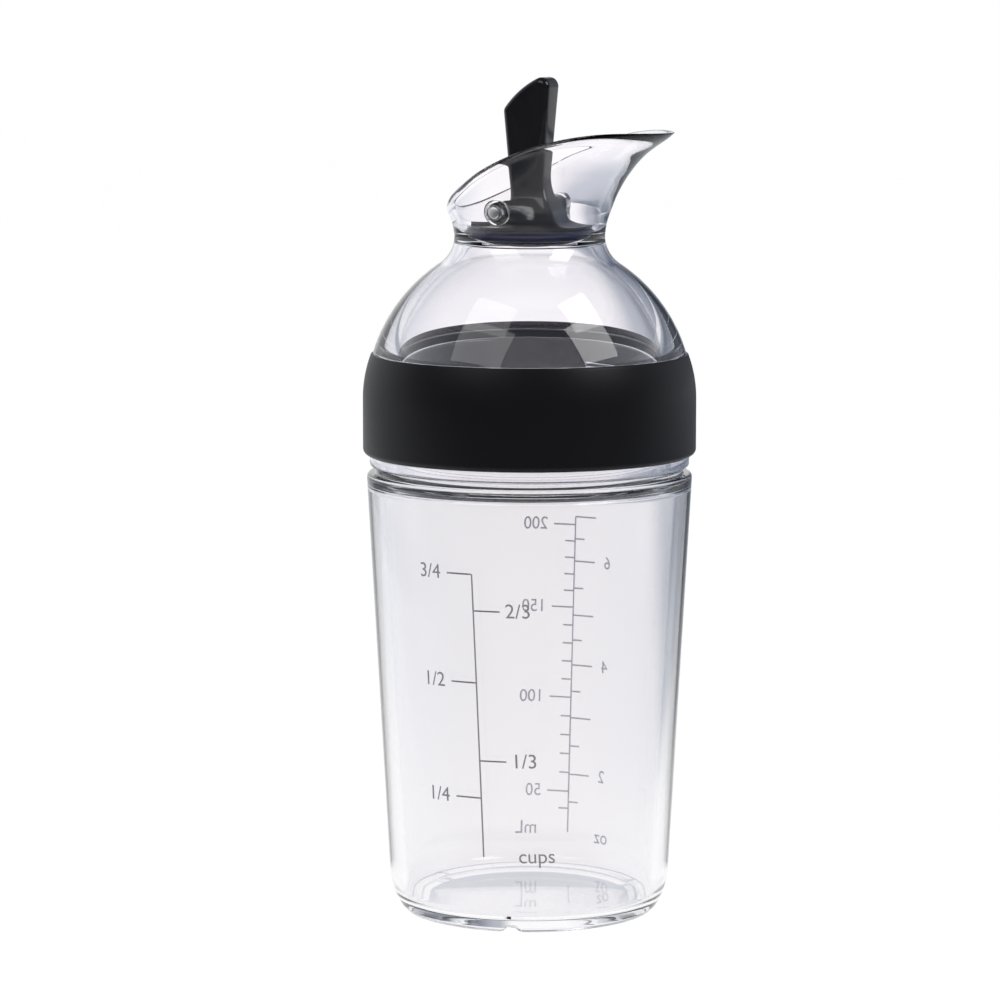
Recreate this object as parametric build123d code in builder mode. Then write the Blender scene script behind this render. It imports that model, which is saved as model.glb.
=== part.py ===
"""Salad dressing shaker: a measuring bottle with a screw-on domed pouring lid.

The origin is the centre of the foot, +Z is up the bottle and +X is the side of the spout.
All lengths are in millimetres.
"""
import os
from math import atan2, degrees, sqrt

from build123d import *

os.makedirs("parts", exist_ok=True)

# Shared fits
seat_gap = 0.05
running_gap = 0.06
face_gap = 0.1
free_gap = 0.3
overrun = 5.0

# Bottle body, from the foot to the shoulder
foot_radius = 26.3
foot_height = 1.0
foot_ring_width = 2.8
foot_recess = 1.5
foot_edge_round = 0.3
notch_count = 3
notch_angle = -71.4
notch_width = 3.4
notch_height = 1.3
notch_round = 0.5
corner_radius = 27.1
body_low_radius = 29.31
body_low_height = 8.0
shoulder_radius = 33.95
shoulder_height = 92.1
shoulder_round = 0.9
body_wall = 3.1
floor_thickness = 3.0
inner_corner_round = 6.0

# Bottle neck
collar_radius = 32.0
collar_height = 1.2
neck_radius = 29.9
neck_wall = 2.3
neck_height = 21.4
rim_round = 0.7
throat_drop = 1.6
throat_round = 1.4

# Lid skirt, which carries the screw thread
thread_room = 1.1
skirt_wall = 1.4
lip_radius = 33.3
lip_height = 2.35
lip_round = 0.5

# Grip ring
ring_wall = 2.23
ring_height = 20.9
ring_straight = 11.5
ring_top_width = 0.5
ring_bottom_round = 1.2
ring_top_round = 0.2

# Lid dome
dome_step = 0.17
dome_centre_drop = 9.75
dome_wall = 2.5
waist_radius = 15.6
waist_fillet = 7.0
ledge_reach = 2.4
ledge_rise = 4.7
gasket_thickness = 1.6
gasket_gap = 0.3
gasket_round = 0.3

# Pin and stopper seat
pin_rise = 39.8
pin_radius = 1.55
pin_setback = 0.25
pin_end_round = 0.5
seat_sphere_radius = 14.8
throat_radius = 12.65
boss_radius = 2.6

# Spout: how far its flare rises above the waist and reaches forward, sideways and back, and how
# much of the rise and of each reach it has at each level
spout_height = 24.0
spout_reach = 36.5
spout_half_width = 18.3
spout_back_reach = 18.2
spout_level_shares = [0, 0.108, 0.225, 0.375, 0.542, 0.708, 0.85, 1]
spout_front_shares = [0, 0.019, 0.065, 0.144, 0.273, 0.459, 0.708, 1]
spout_side_shares = [0, 0.148, 0.444, 0.704, 0.852, 0.926, 0.963, 1]
spout_back_shares = [0, 0.192, 0.654, 0.885, 0.962, 1, 1, 1]
spout_wall = 2.0
spout_rim_round = 0.3

# Rim of the spout in side view: places as shares of the reach, rises above the pin as shares of
# the highest
rim_rise = 16.2
rim_place_shares = [-0.603, -0.477, -0.345, -0.225, -0.09, 0.123, 0.373, 0.603, 0.833, 1.096]
rim_rise_shares = [-0.16, 0.006, 0.179, 0.333, 0.512, 0.728, 0.901, 0.988, 1, 0.963]

# Stopper disc
disc_radius = 13.0
disc_top_drop = 3.3
disc_flange_drop = 7.7
disc_flange_radius = 12.0
groove_radius = 11.6
groove_top_drop = 4.1
groove_bottom_drop = 6.7
seal_radius = 13.3
seal_round = 0.9
hub_radius = 2.25
hub_half_length = 13.3
rib_width = 5.0
rib_top_drop = 1.5
rib_start = -13.2
rib_end = -3.0
rib_round = 0.5

# Lever in side view: places along X and heights above the pin
lever_foot_drop = 3.6
lever_back_foot = -6.4
lever_back_waist = -3.5
lever_back_waist_rise = 2.6
lever_front_foot = 12.3
lever_front_waist = 4.1
lever_front_waist_rise = 8.0
lever_crown_back = -5.05
lever_crown_back_rise = 20.4
lever_crown_front = 5.85
lever_crown_front_rise = 28.0
lever_crown_radius = 20.0
lever_crown_back_round = 1.6
lever_crown_front_round = 2.0

# Lever in front view: half widths and heights above the pin
lever_foot_half = 8.5
lever_waist_half = 2.55
lever_waist_rise = 5.0
lever_crown_half = 3.1
lever_round = 1.3

# Derived sizes
foot_inner_radius = foot_radius - foot_ring_width
floor_top = foot_recess + floor_thickness
collar_top = shoulder_height + collar_height
rim_height = shoulder_height + neck_height
neck_bore = neck_radius - neck_wall
throat_low = shoulder_height - throat_drop
body_slope = (shoulder_radius - body_low_radius) / (shoulder_height - body_low_height)
skirt_bottom = collar_top + free_gap
skirt_inner = neck_radius + thread_room
skirt_outer = skirt_inner + skirt_wall
lip_top = skirt_bottom + lip_height
ring_bottom = lip_top + seat_gap
ring_top = ring_bottom + ring_height
ring_inner = skirt_outer + seat_gap
ring_radius = ring_inner + ring_wall
groove_top = ring_top + seat_gap
gasket_bottom = rim_height + face_gap
gasket_top = gasket_bottom + gasket_thickness
ledge_bottom = gasket_top + face_gap
ledge_top = ledge_bottom + ledge_rise
ledge_inner = skirt_inner - ledge_reach
dome_centre = groove_top - dome_centre_drop
pin_height = dome_centre + pin_rise
dome_low_radius = skirt_outer + dome_step
dome_radius = sqrt(dome_low_radius**2 + dome_centre_drop**2)
dome_inner_radius = dome_radius - dome_wall
pin_hole_radius = pin_radius
lever_bore = pin_radius + running_gap
boss_face = hub_half_length + free_gap

# Where the dome's sphere runs into the concave waist
waist_centre_radius = waist_radius + waist_fillet
waist_centre = dome_centre + sqrt((dome_radius + waist_fillet) ** 2 - waist_centre_radius**2)
waist_lean = degrees(atan2(waist_centre - dome_centre, waist_centre_radius))
waist_inner_fillet = waist_fillet + dome_wall
dome_low_lean = degrees(atan2(dome_centre_drop, dome_low_radius))
inner_low_rise = ledge_top - dome_centre
inner_low_radius = sqrt(dome_inner_radius**2 - inner_low_rise**2)
inner_low_lean = degrees(atan2(inner_low_rise, inner_low_radius))
inner_low_slope = (inner_low_rise / dome_inner_radius, -inner_low_radius / dome_inner_radius)
ledge_height = pin_height - sqrt(seat_sphere_radius**2 - throat_radius**2)
inner_top_lean = degrees(atan2(waist_centre - ledge_height, waist_centre_radius - waist_radius))


def flare(shares, reach):
    """Reach of the spout at each level, from the waist's radius to its full reach."""
    return [waist_radius + share * (reach - waist_radius) for share in shares]


spout_levels = [share * spout_height for share in spout_level_shares]
spout_front = flare(spout_front_shares, spout_reach)
spout_side = flare(spout_side_shares, spout_half_width)
spout_back = flare(spout_back_shares, spout_back_reach)
rim_places = [share * spout_reach for share in rim_place_shares]
rim_rises = [share * rim_rise for share in rim_rise_shares]
level_gaps = [abs(waist_centre + level - pin_height) for level in spout_levels]
side_at_pin = spout_side[level_gaps.index(min(level_gaps))]

# Plane through the pin's axis, square to it
pin_plane = Plane((0, 0, pin_height), x_dir=(1, 0, 0), z_dir=(0, -1, 0))


def body_radius(height):
    """Outer radius of the tapered bottle wall at a height."""
    return body_low_radius + body_slope * (height - body_low_height)


def soften(place, radius):
    """Round the corner of the sketch in hand that lies nearest to a place."""
    fillet(vertices().sort_by_distance(place)[0], radius)


def spout_section(front, side, back):
    """Outline of the spout at one level, in four quarter arcs."""
    with BuildSketch() as section:
        with BuildLine():
            EllipticalCenterArc((0, 0), front, side, start_angle=0, arc_size=90)
            EllipticalCenterArc((0, 0), back, side, start_angle=90, arc_size=90)
            EllipticalCenterArc((0, 0), back, side, start_angle=180, arc_size=90)
            EllipticalCenterArc((0, 0), front, side, start_angle=270, arc_size=90)
        make_face()
    return section.sketch


# Bottle: clear tapered body, foot ring with drain notches, shoulder and neck
with BuildPart() as bottle:
    with BuildSketch(Plane.XZ) as bottle_outline:
        with BuildLine():
            foot = Polyline(
                (0, foot_recess),
                (foot_inner_radius, foot_recess),
                (foot_inner_radius, 0),
                (foot_radius, 0),
                (foot_radius, foot_height),
                (corner_radius, foot_height),
            )
            wall = Line((body_low_radius, body_low_height), (shoulder_radius, shoulder_height))
            TangentArc(wall @ 0, foot @ 1, tangent=-(wall % 0))
            Polyline(
                wall @ 1,
                (collar_radius, shoulder_height),
                (collar_radius, collar_top),
                (neck_radius, collar_top),
                (neck_radius, rim_height),
                (0, rim_height),
                foot @ 0,
            )
        make_face()
        soften((shoulder_radius, shoulder_height), shoulder_round)
        soften((neck_radius, rim_height), rim_round)
        soften((foot_radius, 0), foot_edge_round)
        soften((foot_inner_radius, 0), foot_edge_round)
    revolve(axis=Axis.Z)
    with BuildSketch(Plane.XZ) as bottle_cavity:
        with BuildLine():
            Polyline(
                (0, floor_top),
                (body_radius(floor_top) - body_wall, floor_top),
                (body_radius(throat_low) - body_wall, throat_low),
                (neck_bore, shoulder_height),
                (neck_bore, rim_height + overrun),
                (0, rim_height + overrun),
                close=True,
            )
        make_face()
        soften((body_radius(floor_top) - body_wall, floor_top), inner_corner_round)
        soften((body_radius(throat_low) - body_wall, throat_low), throat_round)
        soften((neck_bore, shoulder_height), throat_round)
    revolve(axis=Axis.Z, mode=Mode.SUBTRACT)
    notch_plane = Plane.YZ.rotated((0, 0, notch_angle)).offset(foot_inner_radius - overrun)
    with BuildSketch(notch_plane) as notch_outline:
        with BuildLine():
            Polyline(
                (-notch_width / 2, 0),
                (0, notch_height),
                (notch_width / 2, 0),
                close=True,
            )
        make_face()
        soften((0, notch_height), notch_round)
    notch = extrude(amount=foot_ring_width + 2 * overrun, mode=Mode.PRIVATE)
    with PolarLocations(0, notch_count):
        add(notch, mode=Mode.SUBTRACT)
bottle.part.label = "bottle"
export_step(bottle.part, "parts/bottle.step")


# Lid gasket: flat ring between the bottle's rim and the ledge inside the lid
with BuildPart() as lid_gasket:
    with BuildSketch(Plane.XY.offset(gasket_bottom)) as gasket_outline:
        Circle(skirt_inner - gasket_gap)
        Circle(neck_bore - gasket_gap, mode=Mode.SUBTRACT)
    extrude(amount=gasket_thickness)
    fillet(edges(), gasket_round)
lid_gasket.part.label = "lid_gasket"
export_step(lid_gasket.part, "parts/lid_gasket.step")


# Grip ring: soft band seated in the groove round the lid
with BuildPart() as grip_ring:
    with BuildSketch(Plane.XZ) as ring_outline:
        with BuildLine():
            ring_side = Line((ring_radius, ring_bottom), (ring_radius, ring_bottom + ring_straight))
            ring_crown = (ring_inner + ring_top_width, ring_top)
            TangentArc(ring_side @ 1, ring_crown, tangent=ring_side % 1)
            Polyline(ring_crown, (ring_inner, ring_top), (ring_inner, ring_bottom), ring_side @ 0)
        make_face()
        soften((ring_radius, ring_bottom), ring_bottom_round)
        soften(ring_crown, ring_top_round)
    revolve(axis=Axis.Z)
grip_ring.part.label = "grip_ring"
export_step(grip_ring.part, "parts/grip_ring.step")


# Lid dome: skirt, dome, seat for the stopper, pin bosses and flared pouring spout
with BuildPart() as lid_dome:
    with BuildSketch(Plane.XZ) as dome_outline:
        with BuildLine():
            low = Polyline(
                (0, skirt_bottom),
                (lip_radius, skirt_bottom),
                (lip_radius, lip_top),
                (skirt_outer, lip_top),
                (skirt_outer, groove_top),
                (dome_low_radius, groove_top),
            )
            bulge = CenterArc(
                (0, dome_centre),
                dome_radius,
                start_angle=dome_low_lean,
                arc_size=waist_lean - dome_low_lean,
            )
            CenterArc(
                (waist_centre_radius, waist_centre),
                waist_fillet,
                start_angle=180,
                arc_size=waist_lean,
            )
            Polyline(
                (waist_radius, waist_centre),
                (0, waist_centre),
                low @ 0,
            )
        make_face()
        soften((lip_radius, skirt_bottom), lip_round)
    revolve(axis=Axis.Z)
    for level, front, side, back in zip(spout_levels, spout_front, spout_side, spout_back):
        with BuildSketch(Plane.XY.offset(waist_centre + level)):
            add(spout_section(front, side, back))
    loft()
    with BuildSketch(Plane.XZ) as rim_outline:
        with BuildLine():
            rim_points = [(x, pin_height + rise) for x, rise in zip(rim_places, rim_rises)]
            rim_line = Spline(*rim_points)
            Polyline(
                rim_line @ 1,
                (rim_places[-1], pin_height + rim_rise + spout_height),
                (rim_places[0], pin_height + rim_rise + spout_height),
                rim_line @ 0,
            )
        make_face()
    extrude(amount=spout_side[-1] + overrun, both=True, mode=Mode.SUBTRACT)
    for level, front, side, back in zip(spout_levels, spout_front, spout_side, spout_back):
        with BuildSketch(Plane.XY.offset(waist_centre + level)):
            add(spout_section(front - spout_wall, side - spout_wall, back - spout_wall))
    loft(mode=Mode.SUBTRACT)
    rim_edges = faces().filter_by(GeomType.EXTRUSION).edges()
    fillet(rim_edges.filter_by(lambda edge: edge.length > 2 * spout_wall), spout_rim_round)
    with BuildSketch(Plane.XZ) as dome_cavity:
        with BuildLine():
            hollow = Polyline(
                (0, skirt_bottom - overrun),
                (skirt_inner, skirt_bottom - overrun),
                (skirt_inner, ledge_bottom),
                (ledge_inner, ledge_bottom),
            )
            TangentArc(
                (inner_low_radius, ledge_top),
                hollow @ 1,
                tangent=inner_low_slope,
            )
            CenterArc(
                (0, dome_centre),
                dome_inner_radius,
                start_angle=inner_low_lean,
                arc_size=waist_lean - inner_low_lean,
            )
            inner_waist = CenterArc(
                (waist_centre_radius, waist_centre),
                waist_inner_fillet,
                start_angle=180 + waist_lean,
                arc_size=inner_top_lean - waist_lean,
            )
            Polyline(inner_waist @ 1, (0, (inner_waist @ 1).Y), hollow @ 0)
        make_face()
    revolve(axis=Axis.Z, mode=Mode.SUBTRACT)
    with Locations((0, 0, pin_height)):
        Sphere(seat_sphere_radius, mode=Mode.SUBTRACT)
    boss_reach = side_at_pin - boss_face - spout_wall / 2
    for side in (-1, 1):
        with BuildSketch(Plane((0, side * boss_face, pin_height), z_dir=(0, side, 0))):
            Circle(boss_radius)
        extrude(amount=boss_reach)
    with BuildSketch(pin_plane):
        Circle(pin_hole_radius)
    extrude(amount=spout_side[-1] + overrun, both=True, mode=Mode.SUBTRACT)
lid_dome.part.label = "lid_dome"
export_step(lid_dome.part, "parts/lid_dome.step")


# Hinge pin: steel pin pressed through both walls of the neck
with BuildPart() as hinge_pin:
    with BuildSketch(pin_plane):
        Circle(pin_radius)
    extrude(amount=side_at_pin - pin_setback, both=True)
    fillet(edges().filter_by(GeomType.CIRCLE), pin_end_round)
hinge_pin.part.label = "hinge_pin"
export_step(hinge_pin.part, "parts/hinge_pin.step")


# Stopper: disc, hub and fin lever in one moulding, turning on the pin
with BuildPart() as stopper:
    with BuildSketch(pin_plane) as lever_side:
        with BuildLine():
            back_corner = (lever_crown_back, lever_crown_back_rise)
            front_corner = (lever_crown_front, lever_crown_front_rise)
            RadiusArc(back_corner, front_corner, lever_crown_radius)
            back_edge = Line((lever_back_waist, lever_back_waist_rise), back_corner)
            front_edge = Line(front_corner, (lever_front_waist, lever_front_waist_rise))
            front_foot = (lever_front_foot, -lever_foot_drop)
            back_foot = (lever_back_foot, -lever_foot_drop)
            TangentArc(front_edge @ 1, front_foot, tangent=front_edge % 1)
            TangentArc(back_edge @ 0, back_foot, tangent=-(back_edge % 0))
            Line(front_foot, back_foot)
        make_face()
        soften(back_corner, lever_crown_back_round)
        soften(front_corner, lever_crown_front_round)
    extrude(amount=disc_radius, both=True)
    with BuildSketch(Plane.YZ) as lever_front:
        with BuildLine():
            low = pin_height - lever_foot_drop
            waist_corner = (lever_waist_half, pin_height + lever_waist_rise)
            side_edge = Line(waist_corner, (lever_crown_half, pin_height + lever_crown_front_rise))
            TangentArc(side_edge @ 0, (lever_foot_half, low), tangent=-(side_edge % 0))
            Line((lever_foot_half, low), (0, low))
            Line(side_edge @ 1, (0, (side_edge @ 1).Y))
            mirror(about=Plane.YZ)
        make_face()
    extrude(amount=2 * disc_radius, both=True, mode=Mode.INTERSECT)
    lever_edges = edges().filter_by(lambda edge: edge.center().Z > pin_height - lever_foot_drop / 2)
    fillet(lever_edges.filter_by(Axis.Y, reverse=True), lever_round)
    with BuildSketch(Plane.XY.offset(pin_height - lever_foot_drop)):
        Circle(disc_radius)
    extrude(amount=lever_foot_drop + lever_crown_front_rise, mode=Mode.INTERSECT)
    with BuildSketch(Plane.XZ) as disc_outline:
        with BuildLine():
            Polyline(
                (0, pin_height - disc_flange_drop),
                (disc_flange_radius, pin_height - disc_flange_drop),
                (disc_flange_radius, pin_height - groove_bottom_drop),
                (groove_radius, pin_height - groove_bottom_drop),
                (groove_radius, pin_height - groove_top_drop),
                (disc_radius, pin_height - groove_top_drop),
                (disc_radius, pin_height - disc_top_drop),
                (0, pin_height - disc_top_drop),
                close=True,
            )
        make_face()
    revolve(axis=Axis.Z)
    with BuildSketch(pin_plane) as hub_outline:
        Circle(hub_radius)
    extrude(amount=hub_half_length, both=True)
    rib_plane = Plane.XY.offset(pin_height - groove_top_drop)
    with BuildSketch(rib_plane) as rib_block:
        with Locations(((rib_start + rib_end) / 2, 0)):
            RectangleRounded(rib_end - rib_start, rib_width, rib_round)
        Circle(disc_radius, mode=Mode.INTERSECT)
    extrude(amount=groove_top_drop - rib_top_drop)
    with BuildSketch(pin_plane):
        Circle(lever_bore)
    extrude(amount=hub_half_length + overrun, both=True, mode=Mode.SUBTRACT)
stopper.part.label = "stopper"
export_step(stopper.part, "parts/stopper.step")


# Stopper seal: soft ring held in the groove of the disc
with BuildPart() as stopper_seal:
    with BuildSketch(Plane.XZ) as seal_outline:
        with BuildLine():
            Polyline(
                (groove_radius + seat_gap, pin_height - groove_bottom_drop + seat_gap),
                (seal_radius, pin_height - groove_bottom_drop + seat_gap),
                (seal_radius, pin_height - groove_top_drop - seat_gap),
                (groove_radius + seat_gap, pin_height - groove_top_drop - seat_gap),
                close=True,
            )
        make_face()
        soften((seal_radius, pin_height - groove_bottom_drop + seat_gap), seal_round)
        soften((seal_radius, pin_height - groove_top_drop - seat_gap), seal_round)
    revolve(axis=Axis.Z)
stopper_seal.part.label = "stopper_seal"
export_step(stopper_seal.part, "parts/stopper_seal.step")
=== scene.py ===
import functools
import math

import bmesh
import bpy
import mathutils
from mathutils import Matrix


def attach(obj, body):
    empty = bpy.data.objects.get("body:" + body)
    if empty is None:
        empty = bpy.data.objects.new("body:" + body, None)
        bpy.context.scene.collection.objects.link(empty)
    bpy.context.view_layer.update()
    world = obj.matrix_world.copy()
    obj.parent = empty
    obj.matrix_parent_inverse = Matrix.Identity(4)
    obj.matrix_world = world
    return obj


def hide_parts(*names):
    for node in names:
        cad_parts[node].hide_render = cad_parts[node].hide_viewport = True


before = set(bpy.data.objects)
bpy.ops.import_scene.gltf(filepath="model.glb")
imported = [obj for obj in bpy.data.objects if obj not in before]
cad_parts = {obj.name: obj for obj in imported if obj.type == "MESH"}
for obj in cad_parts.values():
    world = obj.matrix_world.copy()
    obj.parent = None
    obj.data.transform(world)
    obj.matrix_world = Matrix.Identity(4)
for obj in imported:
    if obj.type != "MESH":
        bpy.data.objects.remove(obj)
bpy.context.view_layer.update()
print("frame loaded with", len(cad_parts), "nodes")

mm = 0.001  # every piece is drawn in millimetres and shrunk at the end
aroundSteps = 240  # columns round the turned pieces
mergeGap = 0.0005  # corners nearer than this are one corner
pinHeight = 147.0  # of the stopper's pin, over the table
nearGap = 0.02  # corners nearer than this to a given place are meant by it
viewAzimuth = 27.0  # degrees from the front, for the camera and the stage


# Materials

def newMaterial(name):
    material = bpy.data.materials.new(name)
    material.use_nodes = True
    tree = material.node_tree
    shader = tree.nodes["Principled BSDF"]
    return material, tree, shader


def addNode(tree, kind, **values):
    node = tree.nodes.new(kind)
    for key, value in values.items():
        if key in node.inputs:
            node.inputs[key].default_value = value
        else:
            setattr(node, key, value)
    return node


def mathNode(tree, operation, first, second):
    node = addNode(tree, "ShaderNodeMath", operation=operation)
    for value, socket in ((first, node.inputs[0]), (second, node.inputs[1])):
        if isinstance(value, float):
            socket.default_value = value
        else:
            tree.links.new(value, socket)
    return node.outputs[0]


def mixShaders(tree, factor, first, second):
    mix = addNode(tree, "ShaderNodeMixShader")
    for source, socket in zip((factor, first, second), mix.inputs):
        tree.links.new(source, socket)
    return mix.outputs[0]


fineDetail, broadDetail = 3.0, 2.0


def speckle(tree, scale, detail=fineDetail):
    # noise on the piece's own coordinates, the same from every side
    place = addNode(tree, "ShaderNodeTexCoord")
    noise = addNode(tree, "ShaderNodeTexNoise", Scale=scale, Detail=detail)
    tree.links.new(place.outputs["Object"], noise.inputs["Vector"])
    return noise


def colourBetween(tree, factor, first, second):
    ramp = addNode(tree, "ShaderNodeValToRGB")
    ramp.color_ramp.elements[0].color = (*first, 1)
    ramp.color_ramp.elements[1].color = (*second, 1)
    tree.links.new(factor, ramp.inputs["Fac"])
    return ramp.outputs["Color"]


def spread(tree, factor, low, high):
    span = addNode(tree, "ShaderNodeMapRange")
    span.inputs["To Min"].default_value = low
    span.inputs["To Max"].default_value = high
    tree.links.new(factor, span.inputs["Value"])
    return span.outputs["Result"]


def addBump(tree, shader, height, strength, distance):
    bump = addNode(tree, "ShaderNodeBump", Strength=strength, Distance=distance)
    tree.links.new(height, bump.inputs["Height"])
    tree.links.new(bump.outputs["Normal"], shader.inputs["Normal"])


def clearPlastic(name, look):
    # clear moulded copolyester: refracts; where the wall turns edge-on its colour moves to a painted
    # edge tone, painted shade on the lid and a lighter, bluer painted edge on the bottle
    material, tree, shader = newMaterial(name)
    shader.inputs["Transmission Weight"].default_value = 1
    shader.inputs["IOR"].default_value = look["ior"]
    # painted edge tone by facing, standing in for how the room shows at the walls' edges
    facing = addNode(tree, "ShaderNodeLayerWeight", Blend=look["edgeBlend"])
    tint = colourBetween(tree, facing.outputs["Facing"], look["tint"], look["paintedEdgeTone"])
    tree.links.new(tint, shader.inputs["Base Color"])
    ripple = speckle(tree, look["rippleScale"], broadDetail)
    tree.links.new(spread(tree, ripple.outputs["Fac"], *look["roughness"]), shader.inputs["Roughness"])
    addBump(tree, shader, ripple.outputs["Fac"], look["rippleStrength"], look["rippleDepth"])
    # light reaches what stands inside the clear walls
    through = addNode(tree, "ShaderNodeBsdfTransparent", Color=(*look["shadowTint"], 1))
    path = addNode(tree, "ShaderNodeLightPath")
    either = mathNode(tree, "MAXIMUM", path.outputs["Is Shadow Ray"], path.outputs["Is Diffuse Ray"])
    wall = mixShaders(tree, either, shader.outputs["BSDF"], through.outputs[0])
    # rays held in the walls past the depth end in a painted glow, an emission standing in for the
    # light they would bring, so no black lines show
    paintedGlowMask = mathNode(tree, "GREATER_THAN", path.outputs["Ray Depth"], look["paintedGlowDepth"])
    paintedGlow = addNode(tree, "ShaderNodeEmission", Color=(*look["paintedGlow"], 1))
    withPaintedGlow = mixShaders(tree, paintedGlowMask, wall, paintedGlow.outputs[0])
    tree.links.new(withPaintedGlow, tree.nodes["Material Output"].inputs["Surface"])
    return material


def solidFinish(name, look):
    # an opaque finish with a fine grain in its colour, gloss and surface
    material, tree, shader = newMaterial(name)
    shader.inputs["Metallic"].default_value = look.get("metallic", 0)
    shader.inputs["Specular IOR Level"].default_value = look.get("specular", 0.5)
    grain = speckle(tree, look["grainScale"])
    cloud = speckle(tree, look["cloudScale"], broadDetail)
    colour = colourBetween(tree, cloud.outputs["Fac"], look["dark"], look["light"])
    tree.links.new(colour, shader.inputs["Base Color"])
    tree.links.new(spread(tree, grain.outputs["Fac"], *look["roughness"]), shader.inputs["Roughness"])
    addBump(tree, shader, grain.outputs["Fac"], look["bump"], look["bumpDepth"])
    return material


bottleLook = {
    "ior": 1.49,
    "edgeBlend": 0.35,
    # the bottle's walls are tinted greyer than the lid's: partly the plastic's own tint, partly
    # painted shade
    "tint": (0.915, 0.905, 0.918),
    "paintedEdgeTone": (0.925, 0.935, 0.955),
    "rippleScale": 60.0,
    "roughness": (0.01, 0.035),
    "rippleStrength": 0.05,
    "rippleDepth": 0.00002,
    "shadowTint": (0.95, 0.95, 0.97),
    # painted glow for rays held in the walls: the depth past which it takes over, and its colour
    "paintedGlowDepth": 6.5,
    "paintedGlow": (0.62, 0.65, 0.70),
}
lidLook = {
    **bottleLook,
    # the lid keeps a near-white tint; the bottle's greyer tint holds painted shade
    "tint": (1.0, 0.98, 1.0),
    "paintedEdgeTone": (0.88, 0.90, 0.94),
    "roughness": (0.0, 0.012),
    # the lid's painted glow: a later depth and a dimmer colour
    "paintedGlowDepth": 8.5,
    "paintedGlow": (0.24, 0.27, 0.34),
}
finishes = {
    "bottleClear": clearPlastic("bottleClear", bottleLook),
    "lidClear": clearPlastic("lidClear", lidLook),
    "ringRubber": solidFinish("ringRubber", {
        "dark": (0.0025, 0.0025, 0.004), "light": (0.004, 0.004, 0.006), "cloudScale": 40.0,
        "grainScale": 2600.0, "roughness": (0.36, 0.48), "bump": 0.15, "bumpDepth": 0.00003,
        "specular": 0.22,
    }),
    "leverGloss": solidFinish("leverGloss", {
        "dark": (0.004, 0.004, 0.006), "light": (0.007, 0.007, 0.009), "cloudScale": 90.0,
        "grainScale": 900.0, "roughness": (0.12, 0.2), "bump": 0.05, "bumpDepth": 0.00002,
        "specular": 0.45,
    }),
    "sealNavy": solidFinish("sealNavy", {
        "dark": (0.004, 0.006, 0.030), "light": (0.007, 0.010, 0.045), "cloudScale": 120.0,
        "grainScale": 1500.0, "roughness": (0.35, 0.5), "bump": 0.1, "bumpDepth": 0.00002,
        "specular": 0.3,
    }),
    "gasketSoft": solidFinish("gasketSoft", {
        "dark": (0.010, 0.011, 0.014), "light": (0.018, 0.019, 0.024), "cloudScale": 80.0,
        "grainScale": 1500.0, "roughness": (0.4, 0.55), "bump": 0.1, "bumpDepth": 0.00002,
    }),
    "pinSteel": solidFinish("pinSteel", {
        "dark": (0.58, 0.58, 0.55), "light": (0.70, 0.70, 0.66), "cloudScale": 400.0,
        "grainScale": 2200.0, "roughness": (0.14, 0.26), "bump": 0.05, "bumpDepth": 0.00002,
        "metallic": 1,
    }),
    "printInk": solidFinish("printInk", {
        "dark": (0.17, 0.17, 0.19), "light": (0.21, 0.21, 0.23), "cloudScale": 500.0,
        "grainScale": 3000.0, "roughness": (0.5, 0.65), "bump": 0.1, "bumpDepth": 0.00001,
    }),
    # the same ink as printInk, painted lighter: painted light standing in for the veil and the dim
    # light on the far scale seen through the walls
    "printInkPaintedLight": solidFinish("printInkPaintedLight", {
        "dark": (0.56, 0.56, 0.58), "light": (0.62, 0.62, 0.64), "cloudScale": 500.0,
        "grainScale": 3000.0, "roughness": (0.5, 0.65), "bump": 0.1, "bumpDepth": 0.00001,
    }),
}
print("materials made")


# Shared mesh steps

def finishPiece(name, bm, body, finish, smoothAngle=35):
    bmesh.ops.remove_doubles(bm, verts=bm.verts, dist=mergeGap)
    bmesh.ops.recalc_face_normals(bm, faces=bm.faces)
    bmesh.ops.scale(bm, vec=(mm, mm, mm), verts=bm.verts)
    mesh = bpy.data.meshes.new(name)
    bm.to_mesh(mesh)
    bm.free()
    piece = bpy.data.objects.new(name, mesh)
    bpy.context.scene.collection.objects.link(piece)
    mesh.materials.append(finishes[finish])
    mesh.shade_smooth()
    mesh.set_sharp_from_angle(angle=math.radians(smoothAngle))
    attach(piece, body)
    return piece


def drawProfile(steps):
    # (r, z) corners joined by lines, and ("turn", r, z, degrees, count) arcs about a centre
    bm = bmesh.new()
    last = None
    for step in steps:
        if step[0] == "turn":
            _, r, z, degrees, count = step
            made = bmesh.ops.spin(
                bm, geom=[last], cent=(r, 0, z), axis=(0, -1, 0),
                angle=math.radians(degrees), steps=count,
            )
            last = [part for part in made["geom_last"] if isinstance(part, bmesh.types.BMVert)][0]
        else:
            vert = bm.verts.new((step[0], 0, step[1]))
            if last is not None:
                bm.edges.new((last, vert))
            last = vert
    return bm


def turnProfile(bm):
    bmesh.ops.spin(
        bm, geom=bm.verts[:] + bm.edges[:], cent=(0, 0, 0), axis=(0, 0, 1),
        angle=math.tau, steps=aroundSteps, use_merge=True,
    )
    bmesh.ops.remove_doubles(bm, verts=bm.verts, dist=mergeGap)


def roundRings(bm, rings, segments=4):
    # rounds the turned edges that lie at (r, z) by a radius
    for r, z, radius in rings:
        ring = [edge for edge in bm.edges if all(
            abs(math.hypot(v.co.x, v.co.y) - r) < nearGap and abs(v.co.z - z) < nearGap
            for v in edge.verts)]
        bmesh.ops.bevel(
            bm, geom=ring, offset=radius, segments=segments, profile=0.5,
            affect="EDGES", material=-1,
        )


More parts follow.
